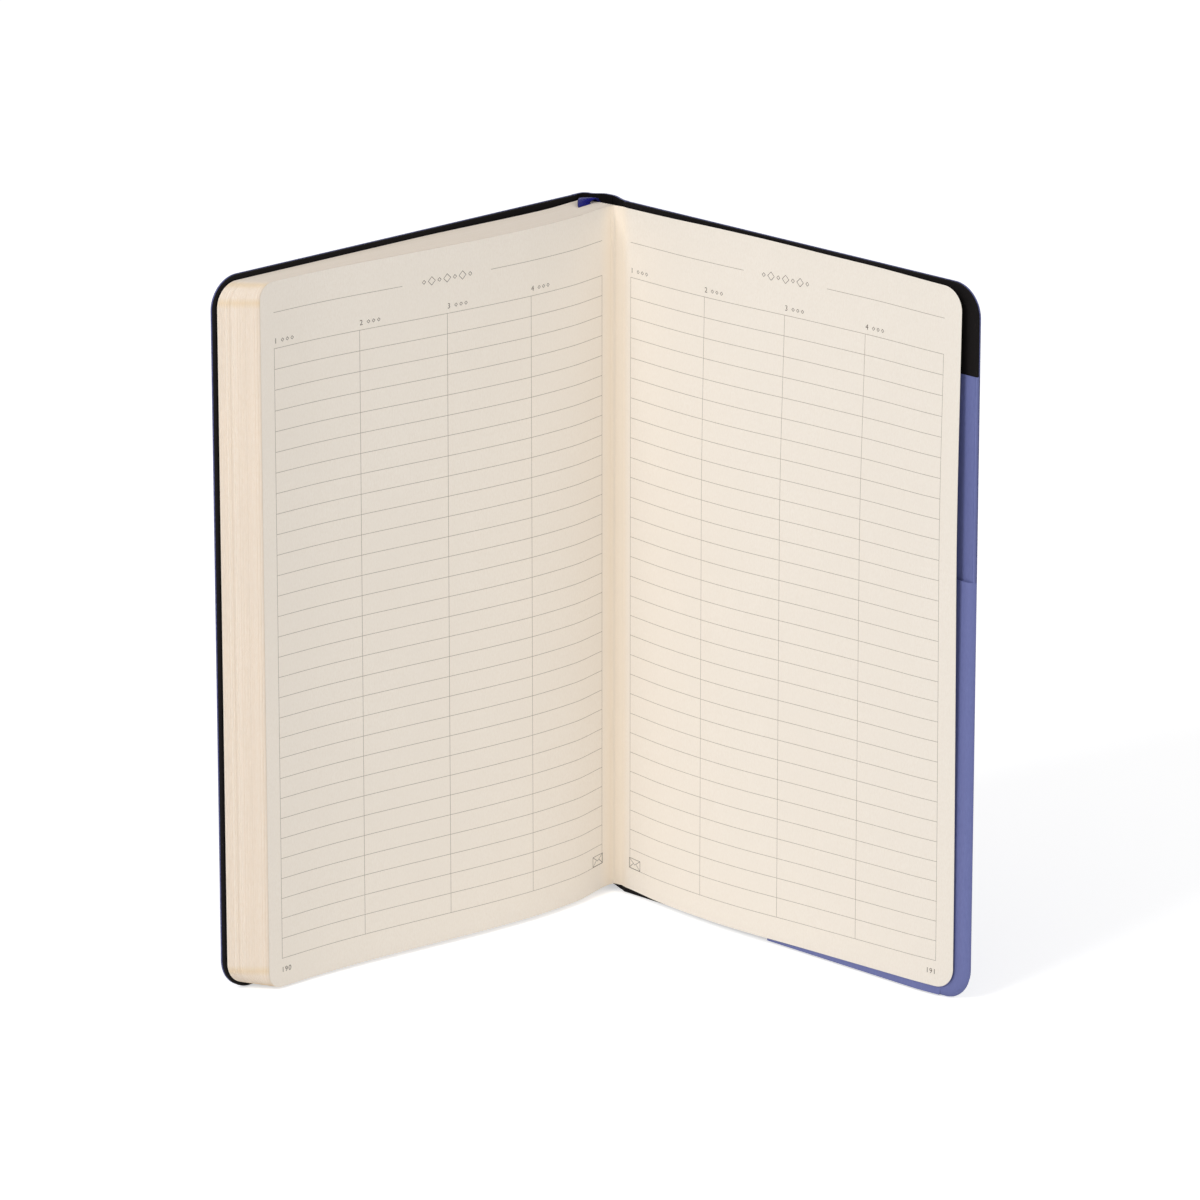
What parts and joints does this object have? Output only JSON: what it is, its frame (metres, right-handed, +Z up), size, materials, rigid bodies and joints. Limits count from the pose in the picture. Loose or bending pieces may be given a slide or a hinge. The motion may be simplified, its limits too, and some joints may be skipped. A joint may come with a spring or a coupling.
{
  "type": "notebook",
  "caption": "Soft cover pocket notebook standing open, with sewn lined leaves, a black lining, an expanding back pocket and a ribbon bookmark.",
  "frame": {"origin": "middle of the spine skin's foot, on the surface that the notebook stands on", "axes": "+Z up the spine, +X to the right across the opening, +Y away from the reader, out of the spine's side"},
  "size_m": [0.1825, 0.0894, 0.18],
  "materials": {
    "cover_skin": "fine grained matt imitation leather",
    "black_lining": "matt black endpaper",
    "board": "thin flexible black card",
    "page_paper": "smooth uncoated ivory paper",
    "pocket_paper": "matt blue paper",
    "mull": "open cotton gauze",
    "ribbon": "blue satin"
  },
  "bodies": {
    "block": {"spine_skin": "cover_skin", "spine_strip": "board", "spine_mull": "mull", "front_crease_skin": "cover_skin", "front_crease_lining": "black_lining", "back_crease_skin": "cover_skin", "back_crease_lining": "black_lining", "front_flyleaf": "black_lining", "signature_01": "page_paper", "signature_02": "page_paper", "signature_03": "page_paper", "signature_04": "page_paper", "signature_05": "page_paper", "signature_06": "page_paper", "signature_07": "page_paper", "signature_08": "page_paper", "signature_09": "page_paper", "signature_10": "page_paper", "signature_11": "page_paper", "signature_12": "page_paper", "left_leaf": "page_paper", "ribbon_bookmark": "ribbon"},
    "front_cover": {"front_cover_skin": "cover_skin", "front_cover_board": "board", "front_cover_pastedown": "black_lining"},
    "back_cover": {"back_cover_skin": "cover_skin", "back_cover_board": "board", "back_cover_pastedown": "black_lining", "pocket_back": "pocket_paper", "pocket_front": "pocket_paper", "pocket_gusset_inner": "pocket_paper", "pocket_gusset_outer": "pocket_paper", "pocket_gusset_foot": "pocket_paper"},
    "right_leaf": {"right_leaf": "page_paper"}
  },
  "joints": [
    {"name": "front_cover_hinge", "type": "hinge", "parent": "block", "child": "front_cover", "pos_m": [-0.00372, 0.00207, 0], "axis": [0, 0, -1], "range_deg": [0, 165], "deforming": ["front_crease_skin", "front_crease_lining"]},
    {"name": "back_cover_hinge", "type": "hinge", "parent": "block", "child": "back_cover", "pos_m": [0.00476, -0.00474, 0], "axis": [0, 0, 1], "range_deg": [-78, 90], "deforming": ["back_crease_skin", "back_crease_lining"]},
    {"name": "right_leaf_turn", "type": "hinge", "parent": "back_cover", "child": "right_leaf", "pos_m": [0.00433, -0.00533, 0], "axis": [0, 0, -1], "range_deg": [0, 78], "deforming": ["right_leaf"]}
  ]
}
